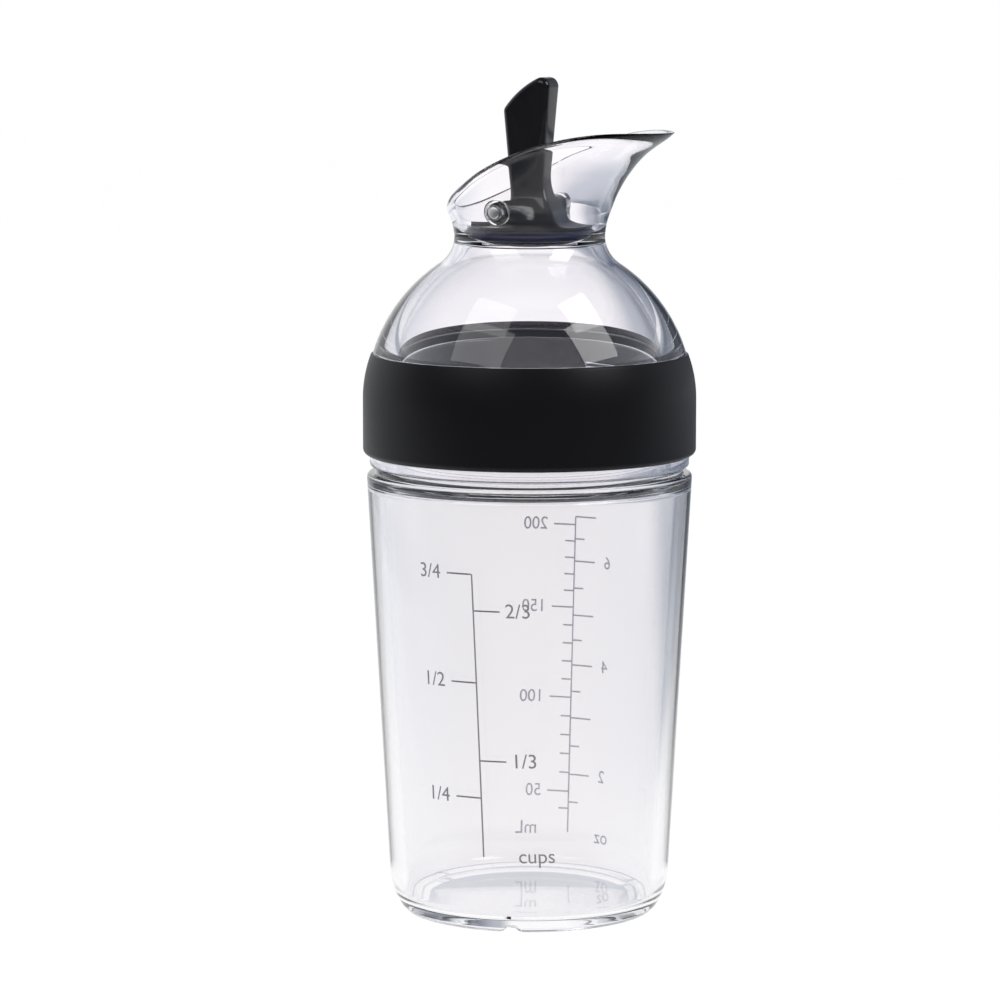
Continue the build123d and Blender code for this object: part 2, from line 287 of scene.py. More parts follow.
def curveAt(places, values, place):
    # smooth curve through a table, straight beyond its ends
    last = len(places) - 1
    index = max(0, min(last - 1, sum(1 for p in places[1:-1] if place > p)))

    def slope(i):
        low, high = max(0, i - 1), min(last, i + 1)
        return (values[high] - values[low]) / (places[high] - places[low])

    width = places[index + 1] - places[index]
    share = (place - places[index]) / width
    if share < 0:
        return values[0] + slope(0) * (place - places[0])
    if share > 1:
        return values[-1] + slope(last) * (place - places[-1])
    cube, square = share ** 3, share ** 2
    return (
        (2 * cube - 3 * square + 1) * values[index]
        + (cube - 2 * square + share) * width * slope(index)
        + (3 * square - 2 * cube) * values[index + 1]
        + (cube - square) * width * slope(index + 1)
    )


# Bottle

bottleShape = {
    "footRadius": 26.3, "footInner": 23.5, "footHeight": 1.0, "recess": 0.8,
    "cornerRadius": 27.1, "lowRadius": 29.31, "lowHeight": 8.0,
    "shoulderRadius": 33.95, "shoulderHeight": 92.1, "wall": 3.1, "floorTop": 2.8,
    "collarRadius": 32.0, "collarTop": 93.3, "neckRadius": 29.9, "neckBore": 27.6,
    "rimHeight": 113.5, "throatLow": 89.6,
    "shoulderRound": 0.9, "collarFootRound": 0.3, "collarRound": 0.25, "rimRound": 0.7,
    "footRound": 0.3, "footStepRound": 0.25, "recessRound": 0.4,
    "throatRound": 1.4, "innerCorner": 2.2,
    "notchAngles": (-71.4, 48.6, 168.6), "notchWidth": 4.0, "notchHeight": 1.5, "notchFlat": 0.9,
}


def bodyRadius(height):
    b = bottleShape
    rise = (height - b["lowHeight"]) / (b["shoulderHeight"] - b["lowHeight"])
    return b["lowRadius"] + rise * (b["shoulderRadius"] - b["lowRadius"])


def makeBottle():
    b = bottleShape
    lean = math.atan2(b["shoulderRadius"] - b["lowRadius"], b["shoulderHeight"] - b["lowHeight"])
    # arc from the end of the foot step that runs tangent into the tapered wall
    dr, dz = b["lowRadius"] - b["cornerRadius"], b["lowHeight"] - b["footHeight"]
    chord = math.hypot(dr, dz)
    half = math.atan2(dr, dz) - lean
    radius = chord / (2 * math.sin(half))
    centreR = b["lowRadius"] - radius * math.cos(lean)
    centreZ = b["lowHeight"] + radius * math.sin(lean)
    innerLow = bodyRadius(b["floorTop"]) - b["wall"]
    innerHigh = bodyRadius(b["throatLow"]) - b["wall"]
    bm = drawProfile([
        (0, b["recess"]), (b["footInner"], b["recess"]), (b["footInner"], 0), (b["footRadius"], 0),
        (b["footRadius"], b["footHeight"]), (b["cornerRadius"], b["footHeight"]),
        ("turn", centreR, centreZ, math.degrees(2 * half), 16),
        (b["shoulderRadius"], b["shoulderHeight"]), (b["collarRadius"], b["shoulderHeight"]),
        (b["collarRadius"], b["collarTop"]), (b["neckRadius"], b["collarTop"]),
        (b["neckRadius"], b["rimHeight"]), (b["neckBore"], b["rimHeight"]),
        (b["neckBore"], b["shoulderHeight"]), (innerHigh, b["throatLow"]),
        (innerLow, b["floorTop"]), (0, b["floorTop"]),
    ])
    turnProfile(bm)
    roundRings(bm, [
        (b["shoulderRadius"], b["shoulderHeight"], b["shoulderRound"]),
        (b["collarRadius"], b["shoulderHeight"], b["collarFootRound"]),
        (b["collarRadius"], b["collarTop"], b["collarRound"]),
        (b["neckRadius"], b["rimHeight"], b["rimRound"]),
        (b["neckBore"], b["rimHeight"], b["rimRound"]),
        (b["footRadius"], 0, b["footRound"]), (b["footInner"], 0, b["footRound"]),
        (b["footInner"], b["recess"], b["recessRound"]),
        (b["footRadius"], b["footHeight"], b["footStepRound"]),
    ])
    roundRings(bm, [
        (innerHigh, b["throatLow"], b["throatRound"]),
        (b["neckBore"], b["shoulderHeight"], b["throatRound"]),
    ], 8)
    roundRings(bm, [(innerLow, b["floorTop"], b["innerCorner"])], 10)
    # drain notches lift the foot ring in a V with a flat top
    for vert in bm.verts:
        r = math.hypot(vert.co.x, vert.co.y)
        if vert.co.z > b["footHeight"] or r < b["footInner"] - 0.1:
            continue
        for turn in b["notchAngles"]:
            away = math.atan2(vert.co.y, vert.co.x) - math.radians(turn)
            away = abs((away + math.pi) % math.tau - math.pi) * r
            depth = b["notchHeight"] * (1 - 2 * away / b["notchWidth"])
            vert.co.z = max(vert.co.z, min(depth, b["notchHeight"] * b["notchFlat"]))
    piece = finishPiece("bottleShell", bm, "bottle", "bottleClear")
    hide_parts("bottle")


makeBottle()
print("bottle made")


# Screw threads, hidden under the grip ring while the lid is on

threadShape = {
    "lead": 7.0, "turns": 1.25, "stepsPerTurn": 96, "rootHalf": 0.85, "crestHalf": 0.4,
    "neckRoot": 29.85, "neckCrest": 30.7, "neckStart": 98.5,
    "lidRoot": 31.05, "lidCrest": 30.2, "lidStart": 95.0,
}


def makeThread(name, body, root, crest, start, finish):
    t = threadShape
    bm = bmesh.new()
    corners = [(root, start - t["rootHalf"]), (crest, start - t["crestHalf"]),
               (crest, start + t["crestHalf"]), (root, start + t["rootHalf"])]
    verts = [bm.verts.new((r, 0, z)) for r, z in corners]
    section = bm.faces.new(verts)
    count = int(t["stepsPerTurn"] * t["turns"])
    climb = t["lead"] * t["turns"] / count
    bmesh.ops.spin(
        bm, geom=[section], cent=(0, 0, 0), axis=(0, 0, 1), dvec=(0, 0, climb),
        angle=math.tau * t["turns"], steps=count,
    )
    finishPiece(name, bm, body, finish)


makeThread("neckThread", "bottle", threadShape["neckRoot"], threadShape["neckCrest"],
           threadShape["neckStart"], "bottleClear")
makeThread("lidThread", "lid", threadShape["lidRoot"], threadShape["lidCrest"],
           threadShape["lidStart"], "lidClear")
print("threads made")


# Lid: skirt, dome, seat and spout in one shell

lidShape = {
    "skirtBottom": 93.6, "skirtInner": 31.0, "skirtOuter": 32.4, "lipRadius": 33.3, "lipTop": 95.95,
    "grooveTop": 116.95, "ledgeBottom": 115.3,
    "domeCentre": 107.2, "domeRadius": 34.0, "hollowCentre": 112.3, "hollowRadius": 27.9,
    "waistRadius": 15.6, "waistFillet": 7.0, "seatSphere": 14.8, "throatRadius": 12.65,
    "lipLowRound": 0.5, "lipTopRound": 0.3, "skirtRound": 0.3, "ledgeRound": 0.3, "throatRound": 0.25,
    "spoutWall": 2.0, "rimNose": 2.2, "rimHalf": 0.05, "seatTop": 143.5, "seatBlend": 0.4,
    "spoutRows": 44, "rowCrowding": 1.7, "rimGuess": 10, "rimTries": 40,
}
spoutTable = {
    "levels": [0, 2.6, 5.4, 9.0, 13.0, 17.0, 20.4, 24.0],
    "front": [15.6, 16.0, 16.95, 18.6, 21.3, 25.2, 30.4, 36.5],
    "side": [15.6, 16.0, 16.8, 17.5, 17.9, 18.1, 18.2, 18.3],
    "back": [15.6, 16.1, 17.3, 17.9, 18.1, 18.2, 18.2, 18.2],
    "rimPlaces": [-22.0, -17.4, -12.6, -8.2, -3.3, 4.5, 13.6, 22.0, 30.4, 40.0],
    "rimRises": [-2.6, 0.1, 2.9, 5.4, 8.3, 11.8, 14.6, 16.0, 16.2, 15.6],
}


def makeLid():
    s = lidShape
    centreR = s["waistRadius"] + s["waistFillet"]
    waistZ = s["domeCentre"] + math.sqrt((s["domeRadius"] + s["waistFillet"]) ** 2 - centreR ** 2)
    lean = math.degrees(math.atan2(waistZ - s["domeCentre"], centreR))
    lowRise = s["grooveTop"] - s["domeCentre"]
    lowR = math.sqrt(s["domeRadius"] ** 2 - lowRise ** 2)
    # the hollow is a smaller, higher sphere, so the wall thickens evenly towards its foot
    hollowRise = s["ledgeBottom"] - s["hollowCentre"]
    hollowLowR = math.sqrt(s["hollowRadius"] ** 2 - hollowRise ** 2)
    hollowLowLean = math.degrees(math.asin(hollowRise / s["hollowRadius"]))
    hollowLean = math.degrees(math.atan2(waistZ - s["hollowCentre"], centreR))
    ledgeZ = pinHeight - math.sqrt(s["seatSphere"] ** 2 - s["throatRadius"] ** 2)
    innerFillet = math.hypot(centreR, waistZ - s["hollowCentre"]) - s["hollowRadius"]
    stopLean = math.degrees(math.asin((waistZ - ledgeZ) / innerFillet))
    seatDrop = pinHeight - s["seatTop"]
    seatTurn = math.degrees(math.acos(s["throatRadius"] / s["seatSphere"])
                            - math.asin(seatDrop / s["seatSphere"]))
    bm = drawProfile([
        (s["waistRadius"], waistZ),
        ("turn", centreR, waistZ, lean, 10),
        ("turn", 0, s["domeCentre"], math.degrees(math.atan2(lowRise, lowR)) - lean, 40),
        (s["skirtOuter"], s["grooveTop"]), (s["skirtOuter"], s["lipTop"]),
        (s["lipRadius"], s["lipTop"]), (s["lipRadius"], s["skirtBottom"]),
        (s["skirtInner"], s["skirtBottom"]), (s["skirtInner"], s["ledgeBottom"]),
        (hollowLowR, s["ledgeBottom"]),
        ("turn", 0, s["hollowCentre"], hollowLean - hollowLowLean, 44),
        ("turn", centreR, waistZ, stopLean - hollowLean, 10),
        (s["throatRadius"], ledgeZ),
        ("turn", 0, pinHeight, seatTurn, 6),
    ])
    turnProfile(bm)
    roundRings(bm, [
        (s["lipRadius"], s["skirtBottom"], s["lipLowRound"]),
        (s["lipRadius"], s["lipTop"], s["lipTopRound"]),
        (s["skirtInner"], s["skirtBottom"], s["skirtRound"]),
        (hollowLowR, s["ledgeBottom"], s["ledgeRound"]),
        (s["throatRadius"], ledgeZ, s["throatRound"]),
    ], 3)
    openEdges = [edge for edge in bm.edges if len(edge.link_faces) == 1]
    outerEnd = [edge for edge in openEdges if edge.verts[0].co.z < waistZ + 1]
    innerEnd = [edge for edge in openEdges if edge.verts[0].co.z > waistZ + 1]

    def widerOf(first, second):
        # the larger of two radii, blended where they are nearly the same
        share = max(0, 1 - abs(first - second) / s["seatBlend"])
        return max(first, second) + share ** 3 * s["seatBlend"] / 6

    def reach(turn, z, wall, inset=0):
        level = z - waistZ
        t = spoutTable
        front = curveAt(t["levels"], t["front"], level) - wall
        side = curveAt(t["levels"], t["side"], level) - wall
        back = curveAt(t["levels"], t["back"], level) - wall
        along = front if math.cos(turn) > 0 else back
        if wall:
            # the inside grows out of the round seat without a crease
            seat = math.sqrt(max(0, s["seatSphere"] ** 2 - (z - pinHeight) ** 2))
            along, side = widerOf(along, seat), widerOf(side, seat)
        along, side = along - inset, side - inset
        return math.cos(turn) * along, math.sin(turn) * side

    @functools.lru_cache(maxsize=None)
    def rimTop(turn):
        # the rim lies where the flare meets the rim's curve, found step by step
        z = pinHeight + s["rimGuess"]
        for _ in range(s["rimTries"]):
            x, y = reach(turn, z, 0)
            z = pinHeight + curveAt(spoutTable["rimPlaces"], spoutTable["rimRises"], x)
        return z

    def spoutRing(row, wall, low):
        # a ring of any radius, whose corners are then moved to their places
        made = bmesh.ops.create_circle(bm, segments=aroundSteps, radius=10, cap_ends=False)
        for vert in made["verts"]:
            turn = round(math.atan2(vert.co.y, vert.co.x), 6)
            top = rimTop(turn)
            z = low + (1 - (1 - row) ** s["rowCrowding"]) * (top - low)
            # the lip narrows to a long rounded nose
            nose = max(0, 1 - (top - z) / s["rimNose"])
            inset = (s["spoutWall"] / 2 - s["rimHalf"]) * (1 - math.sqrt(1 - nose * nose))
            vert.co.x, vert.co.y = reach(turn, z, wall, -inset if wall else inset)
            vert.co.z = z
        ringVerts = set(made["verts"])
        return [edge for edge in bm.edges if edge.verts[0] in ringVerts and edge.verts[1] in ringVerts]

    rows = s["spoutRows"]
    below = outerEnd
    for row in range(1, rows + 1):
        ring = spoutRing(row / rows, 0, waistZ)
        bmesh.ops.bridge_loops(bm, edges=below + ring)
        below = ring
    for row in range(rows, 0, -1):
        ring = spoutRing(row / rows, s["spoutWall"], s["seatTop"])
        bmesh.ops.bridge_loops(bm, edges=below + ring)
        below = ring
    bmesh.ops.bridge_loops(bm, edges=below + innerEnd)
    return bm


# The pin, and the bosses inside the neck that carry it

pinShape = {"radius": 1.55, "reach": 16.55, "endRound": 0.5, "sides": 48,
            "bossRadius": 2.6, "bossFace": 13.6, "bossEnd": 15.8, "bossRound": 0.3}


def yCylinder(bm, radius, low, high):
    # a cylinder along Y at the pin's height
    made = bmesh.ops.create_cone(bm, cap_ends=True, segments=pinShape["sides"], radius1=radius,
                                 radius2=radius, depth=high - low)
    bmesh.ops.rotate(bm, verts=made["verts"], cent=(0, 0, 0),
                     matrix=mathutils.Matrix.Rotation(math.pi / 2, 3, "X"))
    bmesh.ops.translate(bm, verts=made["verts"], vec=(0, (low + high) / 2, pinHeight))
    return made["verts"]


def roundEnds(bm, verts, radius, segments=4):
    inside = set(verts)
    edges = [edge for edge in bm.edges if edge.verts[0] in inside and edge.verts[1] in inside
             and abs(edge.verts[0].co.y - edge.verts[1].co.y) < mergeGap]
    bmesh.ops.bevel(bm, geom=edges, offset=radius, segments=segments, profile=0.5,
                    affect="EDGES", material=-1)


def makePin():
    p = pinShape
    bm = bmesh.new()
    verts = yCylinder(bm, p["radius"], -p["reach"], p["reach"])
    roundEnds(bm, verts, p["endRound"])
    piece = finishPiece("hingePin", bm, "lid", "pinSteel")
    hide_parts("hinge_pin")


def joinBosses(lid):
    # the bosses and the lid become one skin, so no face is left inside the clear wall
    p = pinShape
    shell = bpy.data.meshes.new("shell")
    lid.to_mesh(shell)
    lid.free()
    bm = bmesh.new()
    for side in (-1, 1):
        low, high = sorted((side * p["bossFace"], side * p["bossEnd"]))
        verts = yCylinder(bm, p["bossRadius"], low, high)
        roundEnds(bm, verts, p["bossRound"], 2)
    bmesh.ops.recalc_face_normals(bm, faces=bm.faces)
    bosses = bpy.data.meshes.new("bosses")
    bm.to_mesh(bosses)
    bm.free()
    holders = [bpy.data.objects.new(mesh.name, mesh) for mesh in (shell, bosses)]
    for holder in holders:
        bpy.context.scene.collection.objects.link(holder)
    union = holders[0].modifiers.new("union", "BOOLEAN")
    union.operation = "UNION"
    union.solver = "EXACT"
    union.object = holders[1]
    bpy.context.view_layer.update()
    joined = bmesh.new()
    joined.from_object(holders[0], bpy.context.evaluated_depsgraph_get())
    for holder in holders:
        bpy.data.objects.remove(holder)
    bpy.data.meshes.remove(shell)
    bpy.data.meshes.remove(bosses)
    return joined


def makeLidShell():
    lid = makeLid()
    bmesh.ops.remove_doubles(lid, verts=lid.verts, dist=mergeGap)
    bmesh.ops.recalc_face_normals(lid, faces=lid.faces)
    piece = finishPiece("lidShell", joinBosses(lid), "lid", "lidClear")
    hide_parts("lid_dome")


makeLidShell()
makePin()
print("lid and pin made")


# Grip ring

ringShape = {"bottom": 96.0, "top": 116.9, "inner": 32.45, "radius": 34.68, "straight": 11.5,
             "topWidth": 0.5, "bottomRound": 1.2, "topRound": 0.2}


def makeRing():
    g = ringShape
    crownR = g["inner"] + g["topWidth"]
    kneeZ = g["bottom"] + g["straight"]
    drop, rise = g["radius"] - crownR, g["top"] - kneeZ
    radius = (drop ** 2 + rise ** 2) / (2 * drop)
    bm = drawProfile([
        (g["inner"], g["bottom"]), (g["radius"], g["bottom"]), (g["radius"], kneeZ),
        ("turn", g["radius"] - radius, kneeZ, math.degrees(math.asin(rise / radius)), 16),
        (g["inner"], g["top"]), (g["inner"], g["bottom"]),
    ])
    turnProfile(bm)
    roundRings(bm, [(g["radius"], g["bottom"], g["bottomRound"])], 6)
    roundRings(bm, [(crownR, g["top"], g["topRound"])], 3)
    piece = finishPiece("gripRing", bm, "lid", "ringRubber")
    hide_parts("grip_ring")


makeRing()


# Lid gasket and stopper seal

sealShape = {
    "gasket": {"inner": 27.3, "outer": 30.7, "low": 113.6, "high": 115.2, "round": 0.3},
    "seal": {"inner": 11.65, "outer": 13.3, "low": 140.35, "high": 142.85, "round": 0.9},
}


def makeSoftRing(name, g, body, finish, node):
    bm = drawProfile([(g["inner"], g["low"]), (g["outer"], g["low"]), (g["outer"], g["high"]),
                      (g["inner"], g["high"]), (g["inner"], g["low"])])
    turnProfile(bm)
    roundRings(bm, [(g["outer"], g["low"], g["round"]), (g["outer"], g["high"], g["round"])], 5)
    piece = finishPiece(name, bm, body, finish)
    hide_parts(node)


makeSoftRing("lidGasket", sealShape["gasket"], "gasket_carrier", "gasketSoft",
             "lid_gasket")
makeSoftRing("stopperSeal", sealShape["seal"], "stopper", "sealNavy", "stopper_seal")
print("ring and seals made")


# Stopper: the CAD form, merged and smoothed

def makeStopper():
    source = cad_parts["stopper"]
    bm = bmesh.new()
    bm.from_mesh(source.data)
    bmesh.ops.scale(bm, vec=(1 / mm, 1 / mm, 1 / mm), verts=bm.verts)
    piece = finishPiece("stopperLever", bm, "stopper", "leverGloss", 30)
    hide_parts("stopper")


makeStopper()
print("stopper made")


# Printed scales on the outside of the bottle

printShape = {"lift": 0.03, "depth": 0.05, "line": 0.32, "longBar": 5, "barCuts": 24}
cupsScale = {
    "topAngle": -84.1, "lowAngle": -81.5, "top": 75.0, "low": 16.2, "tick": 5.6,
    "textSize": 4.2, "textGap": 1.0, "leftGap": 1.5,
    "left": [("3/4", 75.0), ("1/2", 52.6), ("1/4", 28.6)],
    "right": [("2/3", 67.5), ("1/3", 36.4)],
    "unit": ("cups", 7.2, 16.5, 4.2),
}
volumeScale = {
    "topAngle": 97.5, "lowAngle": 98.5, "top": 76.7, "low": 8.7, "longTick": 5.2, "shortTick": 2.4,
    "textSize": 3.8, "unitSize": 4.1, "textGap": 1.4, "farTextGap": 2.5,
    "millilitres": [(200, 75.0), (150, 57.3), (100, 37.9), (50, 17.6), (40, 13.9)],
    "ounces": [(7, 76.7), (6, 67.2), (5, 55.6), (4, 44.9), (3, 33.5), (2, 21.3), (1.5, 15.3)],
    "units": [("mL", 7.4, 9.5, "LEFT"), ("oz", -7.0, 8.3, "RIGHT")],
}


def flatBar(bm, x0, x1, z0, z1):
    made = bmesh.ops.create_cube(bm, size=1)
    bmesh.ops.scale(bm, vec=(x1 - x0, z1 - z0, printShape["depth"]), verts=made["verts"])
    bmesh.ops.translate(bm, verts=made["verts"], vec=((x0 + x1) / 2, (z0 + z1) / 2, 0))
    if z1 - z0 > printShape["longBar"]:
        # a long bar is cut into short lengths that can follow the wall
        longEdges = [edge for edge in bm.edges if edge.verts[0] in made["verts"]
                     and abs(edge.verts[0].co.y - edge.verts[1].co.y) > printShape["longBar"]]
        bmesh.ops.subdivide_edges(bm, edges=longEdges, cuts=printShape["barCuts"], use_grid_fill=True)


def flatText(bm, words, x, z, size, align):
    curve = bpy.data.curves.new("label", "FONT")
    curve.body = words
    curve.size = size
    curve.align_x = align
    curve.align_y = "CENTER"
    curve.extrude = printShape["depth"] / 2
    holder = bpy.data.objects.new("label", curve)
    bpy.context.scene.collection.objects.link(holder)
    bpy.context.view_layer.update()
    mesh = bpy.data.meshes.new_from_object(holder)
    mesh.transform(mathutils.Matrix.Translation((x, z, 0)))
    bm.from_mesh(mesh)
    bpy.data.objects.remove(holder)
    bpy.data.curves.remove(curve)
    bpy.data.meshes.remove(mesh)


def wrapOnBottle(bm, scale):
    lean = scale["lowAngle"] - scale["topAngle"]
    for vert in bm.verts:
        x, z, out = vert.co
        r = bodyRadius(z) + printShape["lift"] + out
        share = (scale["top"] - z) / (scale["top"] - scale["low"])
        turn = math.radians(scale["topAngle"] + share * lean) + x / r
        vert.co = (r * math.cos(turn), r * math.sin(turn), z)


def makeCupsScale():
    c, w = cupsScale, printShape["line"] / 2
    bm = bmesh.new()
    flatBar(bm, -w, w, c["low"], c["top"])
    for words, z in c["left"]:
        flatBar(bm, -c["tick"], 0, z - w, z + w)
        flatText(bm, words, -c["tick"] - c["leftGap"], z, c["textSize"], "RIGHT")
    for words, z in c["right"]:
        flatBar(bm, 0, c["tick"], z - w, z + w)
        flatText(bm, words, c["tick"] + c["textGap"], z, c["textSize"], "LEFT")
    words, x, z, size = c["unit"]
    flatText(bm, words, x, z, size, "LEFT")
    wrapOnBottle(bm, c)
    finishPiece("cupsScale", bm, "bottle", "printInk")


def makeVolumeScale():
    v, w = volumeScale, printShape["line"] / 2
    bm = bmesh.new()
    flatBar(bm, -w, w, v["low"], v["top"])
    marks = v["millilitres"]
    for (volume, z), (nextVolume, nextZ) in zip(marks, marks[1:] + [(None, None)]):
        labelled = volume % 50 == 0
        flatBar(bm, 0, v["longTick"] if labelled else v["shortTick"], z - w, z + w)
        if labelled:
            flatText(bm, str(volume), v["longTick"] + v["textGap"], z, v["textSize"], "LEFT")
        if nextVolume is not None and volume - nextVolume > 10:
            count = (volume - nextVolume) // 10
            for step in range(1, count):
                height = z + (nextZ - z) * step / count
                flatBar(bm, 0, v["shortTick"], height - w, height + w)
    marks = v["ounces"]
    for (volume, z), (nextVolume, nextZ) in zip(marks, marks[1:] + [(None, None)]):
        whole = volume == int(volume)
        flatBar(bm, -(v["longTick"] if whole else v["shortTick"]), 0, z - w, z + w)
        if whole and int(volume) % 2 == 0:
            flatText(bm, str(int(volume)), -v["longTick"] - v["farTextGap"], z, v["textSize"], "RIGHT")
        if nextVolume is not None and volume - nextVolume == 1:
            height = (z + nextZ) / 2
            flatBar(bm, -v["shortTick"], 0, height - w, height + w)
    for words, x, z, side in v["units"]:
        flatText(bm, words, x, z, v["unitSize"], side)
    wrapOnBottle(bm, v)
    # the far scale takes the painted lighter copy of the ink
    finishPiece("volumeScale", bm, "bottle", "printInkPaintedLight")


makeCupsScale()
makeVolumeScale()
print("printed scales made")


# Floor, light and camera

stageLook = {
    "floorSize": 3.0, "floorColour": (0.8, 0.8, 0.8), "floorRoughness": 0.9,
    "floorGlow": 0.93, "floorStrength": 1.02, "ambient": 0.85, "throughGlass": 1.1,
    # the dim room, in reflections and as the clear walls see it
    "front": (0.05, 0.05, 0.05), "frontThroughGlass": (0.09, 0.105, 0.14), "ceiling": (0.35, 0.85),
    # how far back the dim room turns into the bands: (dim, bands), as directions and in metres
    "skyGloss": (-0.25, 0.45), "skyGlass": (-0.7, -0.1),
    "floorGloss": (-0.3, 0.02), "floorGlass": (-0.6, -0.2),
    # brightness from the left (0) to the right (1) as the clear walls see it
    "sky": [(0.0, (0.92, 0.93, 0.95)), (0.20, (0.85, 0.86, 0.89)), (0.27, (0.70, 0.72, 0.76)),
            (0.36, (0.93, 0.94, 0.96)), (0.42, (1.0, 1.0, 1.0)), (0.54, (1.0, 1.0, 1.0)),
            (0.58, (0.45, 0.47, 0.52)), (0.66, (0.10, 0.12, 0.17)), (0.76, (0.30, 0.33, 0.39)),
            (1.0, (0.66, 0.69, 0.74))],
    "table": [(0.10, (0.90, 0.90, 0.93)), (0.20, (0.38, 0.41, 0.47)), (0.26, (0.36, 0.39, 0.45)),
              (0.31, (0.80, 0.82, 0.86)), (0.42, (0.88, 0.89, 0.92)),
              (0.47, (1.0, 1.0, 1.0)), (0.53, (1.0, 1.0, 1.0)), (0.56, (0.52, 0.55, 0.60)),
              (0.61, (0.24, 0.27, 0.32)), (0.69, (0.13, 0.15, 0.20)), (0.78, (0.40, 0.43, 0.48)),
              (0.90, (0.95, 0.95, 0.97))],
    "tableReach": 1.2, "bounces": 32,
}


def sideBands(tree, vector, reach, stops):
    # soft upright bands across the view's width, fixed in the stage's own axes, with the depth and
    # the height that go with them
    turn = addNode(tree, "ShaderNodeMapping")
    turn.inputs["Rotation"].default_value = (0, 0, -math.radians(viewAzimuth))
    tree.links.new(vector, turn.inputs["Vector"])
    split = addNode(tree, "ShaderNodeSeparateXYZ")
    tree.links.new(turn.outputs["Vector"], split.inputs[0])
    across = addNode(tree, "ShaderNodeMapRange")
    across.inputs["From Min"].default_value = -reach
    across.inputs["From Max"].default_value = reach
    tree.links.new(split.outputs["X"], across.inputs["Value"])
    ramp = addNode(tree, "ShaderNodeValToRGB")
    ramp.color_ramp.interpolation = "EASE"
    points = ramp.color_ramp.elements
    while len(points) < len(stops):
        points.new(0.5)
    for point, (place, colour) in zip(points, stops):
        point.position = place
    for point, (place, colour) in zip(points, stops):
        point.color = (*colour, 1)
    tree.links.new(across.outputs["Result"], ramp.inputs["Fac"])
    return ramp.outputs["Color"], split.outputs["Y"], split.outputs["Z"]


def insideGlass(tree, path):
    # 1 for light that has gone through a clear wall on its way, whatever it met last
    return mathNode(tree, "GREATER_THAN", path.outputs["Transmission Depth"], 0.5)


def mixColours(tree, factor, first, second):
    mix = addNode(tree, "ShaderNodeMix", data_type="RGBA")
    tree.links.new(factor, mix.inputs["Factor"])
    for colour, socket in ((first, mix.inputs[6]), (second, mix.inputs[7])):
        if isinstance(colour, tuple):
            socket.default_value = (*colour, 1)
        else:
            tree.links.new(colour, socket)
    return mix.outputs[2]


def smoothShare(tree, value, low, high):
    share = addNode(tree, "ShaderNodeMapRange")
    share.interpolation_type = "SMOOTHSTEP"
    share.inputs["From Min"].default_value = low
    share.inputs["From Max"].default_value = high
    tree.links.new(value, share.inputs["Value"])
    return share.outputs["Result"]


def seenColour(tree, path, depth, glossEdge, glassEdge, bands):
    # white for the camera; reflections and the clear walls see the bands behind the bottle and
    # a dim room in front of it
    look = stageLook
    glossy = mixColours(tree, smoothShare(tree, depth, *glossEdge), look["front"], bands)
    inside = mixColours(tree, smoothShare(tree, depth, *glassEdge), look["frontThroughGlass"], bands)
    colour = mixColours(tree, path.outputs["Is Glossy Ray"], (1.0, 1.0, 1.0), glossy)
    return mixColours(tree, insideGlass(tree, path), colour, inside)


def makeFloor():
    look = stageLook
    bm = bmesh.new()
    bmesh.ops.create_grid(bm, x_segments=2, y_segments=2, size=look["floorSize"])
    mesh = bpy.data.meshes.new("floor")
    bm.to_mesh(mesh)
    bm.free()
    floor = bpy.data.objects.new("floor", mesh)
    bpy.context.scene.collection.objects.link(floor)
    material, tree, shader = newMaterial("floorWhite")
    shader.inputs["Base Color"].default_value = (*look["floorColour"], 1)
    shader.inputs["Roughness"].default_value = look["floorRoughness"]
    shader.inputs["Specular IOR Level"].default_value = 0.0
    path = addNode(tree, "ShaderNodeLightPath")
    place = addNode(tree, "ShaderNodeTexCoord")
    bands, depth, height = sideBands(tree, place.outputs["Object"], look["tableReach"], look["table"])
    colour = seenColour(tree, path, depth, look["floorGloss"], look["floorGlass"], bands)
    glow = addNode(tree, "ShaderNodeEmission")
    tree.links.new(colour, glow.inputs["Color"])
    boost = spread(tree, insideGlass(tree, path), look["floorStrength"], look["throughGlass"])
    tree.links.new(boost, glow.inputs["Strength"])
    # the floor glows for what is seen and catches soft shadows for the rest
    seen = mathNode(tree, "MAXIMUM", path.outputs["Is Camera Ray"], path.outputs["Is Glossy Ray"])
    seen = mathNode(tree, "MAXIMUM", seen, insideGlass(tree, path))
    share = mathNode(tree, "MULTIPLY", seen, look["floorGlow"])
    mix = mixShaders(tree, share, shader.outputs[0], glow.outputs[0])
    tree.links.new(mix, tree.nodes["Material Output"].inputs["Surface"])
    mesh.materials.append(material)


def makeWorld():
    # white for the camera, soft bands behind the bottle, and a dim room in front of it and overhead
    look = stageLook
    world = bpy.data.worlds.new("studio")
    bpy.context.scene.world = world
    world.use_nodes = True
    tree = world.node_tree
    back = tree.nodes["Background"]
    place = addNode(tree, "ShaderNodeTexCoord")
    path = addNode(tree, "ShaderNodeLightPath")
    bands, depth, height = sideBands(tree, place.outputs["Generated"], 1.0, look["sky"])
    ceiling = smoothShare(tree, height, *look["ceiling"])
    bands = mixColours(tree, ceiling, bands, look["frontThroughGlass"])
    colour = seenColour(tree, path, depth, look["skyGloss"], look["skyGlass"], bands)
    tree.links.new(colour, back.inputs["Color"])
    ambient = spread(tree, path.outputs["Is Diffuse Ray"], 1.0, look["ambient"])
    boost = spread(tree, insideGlass(tree, path), 1.0, look["throughGlass"])
    tree.links.new(mathNode(tree, "MULTIPLY", ambient, boost), back.inputs["Strength"])


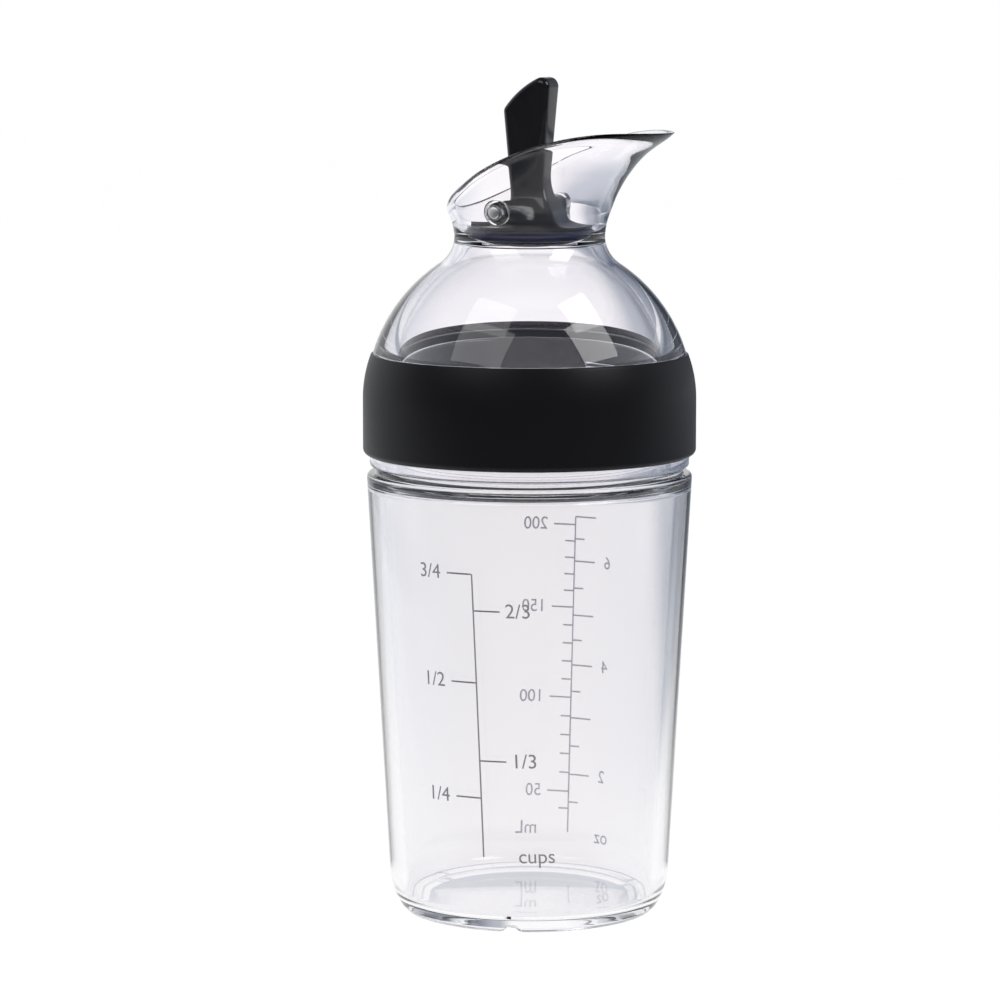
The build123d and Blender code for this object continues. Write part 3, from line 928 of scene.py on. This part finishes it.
# watts, metres, and the place as the camera sees it: to its right, away from it, and up
lampShape = {
    "leftBox": {"power": 1.1, "size": (0.5, 0.36), "place": (-0.39, -0.42, 0.60), "aimHeight": 0.12},
    "rightBox": {"power": 2.1, "size": (0.36, 0.36), "place": (0.478, -0.31, 0.60), "aimHeight": 0.12},
    "topBox": {"power": 2.0, "size": (0.6, 0.6), "place": (0, 0.1, 0.9), "aimHeight": 0.1},
}


def besideCamera(sideways, forward, height):
    turn = math.radians(viewAzimuth)
    return (sideways * math.cos(turn) - forward * math.sin(turn),
            sideways * math.sin(turn) + forward * math.cos(turn), height)


def makeLamp(name):
    shape = lampShape[name]
    light = bpy.data.lights.new(name, "AREA")
    light.energy = shape["power"]
    light.shape = "RECTANGLE"
    light.size, light.size_y = shape["size"]
    lamp = bpy.data.objects.new(name, light)
    bpy.context.scene.collection.objects.link(lamp)
    lamp.location = besideCamera(*shape["place"])
    aim = mathutils.Vector((0, 0, shape["aimHeight"])) - lamp.location
    lamp.rotation_euler = aim.to_track_quat("-Z", "Y").to_euler()
    return lamp


cameraShape = {"lens": 150.01, "sensor": 36, "pitch": 7.572, "distance": 0.8701,
               "lookHeight": 0.08606, "aside": 0.00614, "clipStart": 0.01}


def makeCamera():
    c = cameraShape
    turn, pitch = math.radians(viewAzimuth), math.radians(c["pitch"])
    right = mathutils.Vector((math.cos(turn), math.sin(turn), 0))
    towards = mathutils.Vector((
        math.cos(pitch) * math.sin(turn), -math.cos(pitch) * math.cos(turn), math.sin(pitch)))
    aim = mathutils.Vector((0, 0, c["lookHeight"])) - right * c["aside"]
    data = bpy.data.cameras.new("camera")
    data.lens = c["lens"]
    data.sensor_width = c["sensor"]
    data.clip_start = c["clipStart"]
    camera = bpy.data.objects.new("camera", data)
    bpy.context.scene.collection.objects.link(camera)
    camera.location = aim + towards * c["distance"]
    camera.rotation_euler = (-towards).to_track_quat("-Z", "Y").to_euler()
    bpy.context.scene.camera = camera


makeFloor()
makeWorld()
makeCamera()
makeLamp("leftBox")
makeLamp("rightBox")
topBox = makeLamp("topBox")
topBox.visible_glossy = False
topBox.visible_transmission = False
bpy.context.scene.view_settings.view_transform = "Standard"
bpy.context.scene.cycles.max_bounces = stageLook["bounces"]
bpy.context.scene.cycles.transmission_bounces = stageLook["bounces"]
print("stage made")
